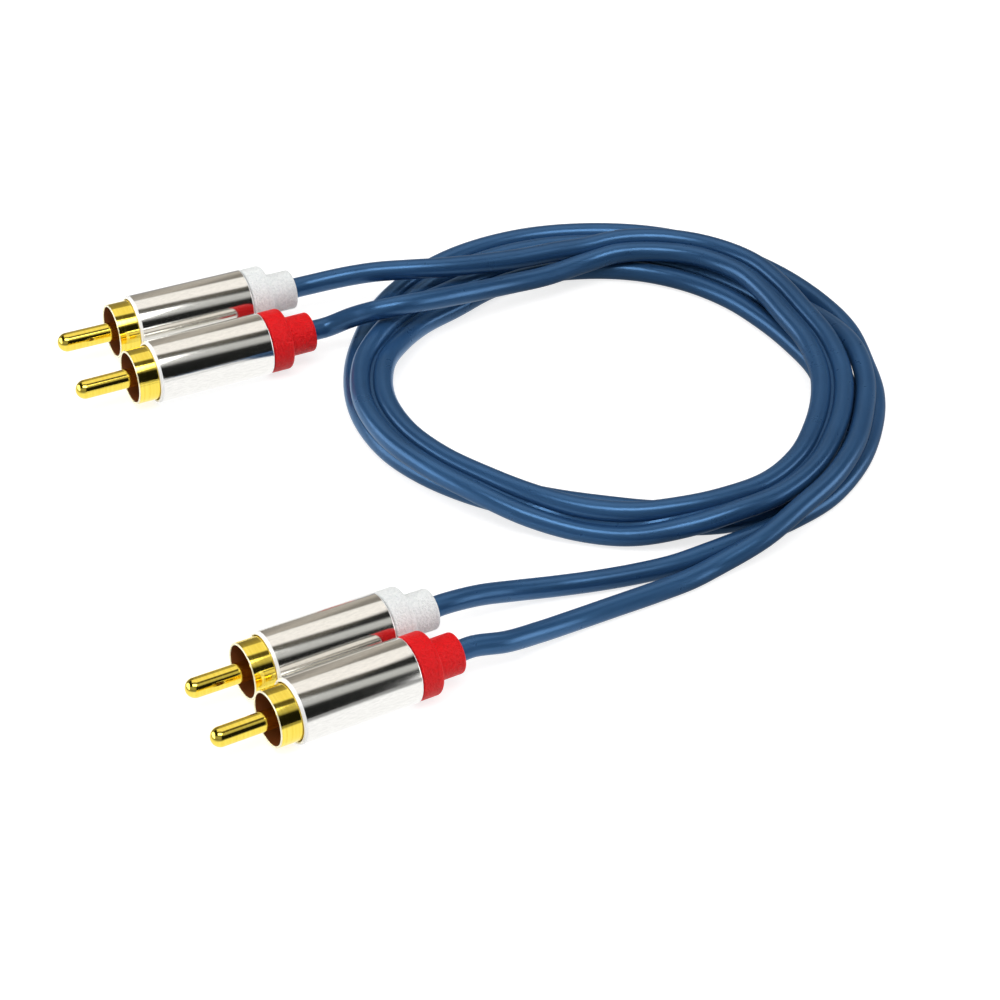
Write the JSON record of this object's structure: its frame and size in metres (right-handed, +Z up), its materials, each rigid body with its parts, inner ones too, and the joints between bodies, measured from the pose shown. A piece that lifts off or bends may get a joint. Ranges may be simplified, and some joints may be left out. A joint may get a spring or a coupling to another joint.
{
  "type": "rca audio cable",
  "caption": "Stereo audio lead: blue twin cord in a loose coil, split at each end into a white and a red phono plug with gold pin and ring, brushed barrel and soft boot.",
  "frame": {"origin": "on the surface that the lead lies on, under the middle of the box round the four plugs", "axes": "+Z up; +Y from the lower pair of plugs to the upper pair; +X from the plugs to the coil"},
  "size_m": [0.1372, 0.1447, 0.0109],
  "materials": {
    "gold": "polished gold plate",
    "insulator": "dark brown",
    "barrel": "brushed, lines round the barrel",
    "boot_white": "fine matte grain",
    "boot_red": "fine matte grain",
    "moulding": "pale, translucent",
    "copper": "bare drawn wire",
    "jacket": "satin blue vinyl"
  },
  "bodies": {
    "root": {"upper_white_centre_pin": "gold", "upper_white_insulator": "insulator", "upper_white_ground_shell": "gold", "upper_white_barrel": "barrel", "upper_white_boot": "boot_white", "upper_white_inner_mould": "moulding", "upper_white_dielectric": "moulding", "upper_white_conductor": "copper", "upper_white_shield_tail": "copper", "upper_red_centre_pin": "gold", "upper_red_insulator": "insulator", "upper_red_ground_shell": "gold", "upper_red_barrel": "barrel", "upper_red_boot": "boot_red", "upper_red_inner_mould": "moulding", "upper_red_dielectric": "moulding", "upper_red_conductor": "copper", "upper_red_shield_tail": "copper", "lower_white_centre_pin": "gold", "lower_white_insulator": "insulator", "lower_white_ground_shell": "gold", "lower_white_barrel": "barrel", "lower_white_boot": "boot_white", "lower_white_inner_mould": "moulding", "lower_white_dielectric": "moulding", "lower_white_conductor": "copper", "lower_white_shield_tail": "copper", "lower_red_centre_pin": "gold", "lower_red_insulator": "insulator", "lower_red_ground_shell": "gold", "lower_red_barrel": "barrel", "lower_red_boot": "boot_red", "lower_red_inner_mould": "moulding", "lower_red_dielectric": "moulding", "lower_red_conductor": "copper", "lower_red_shield_tail": "copper", "white_strand": "jacket", "red_strand": "jacket"}
  },
  "joints": []
}
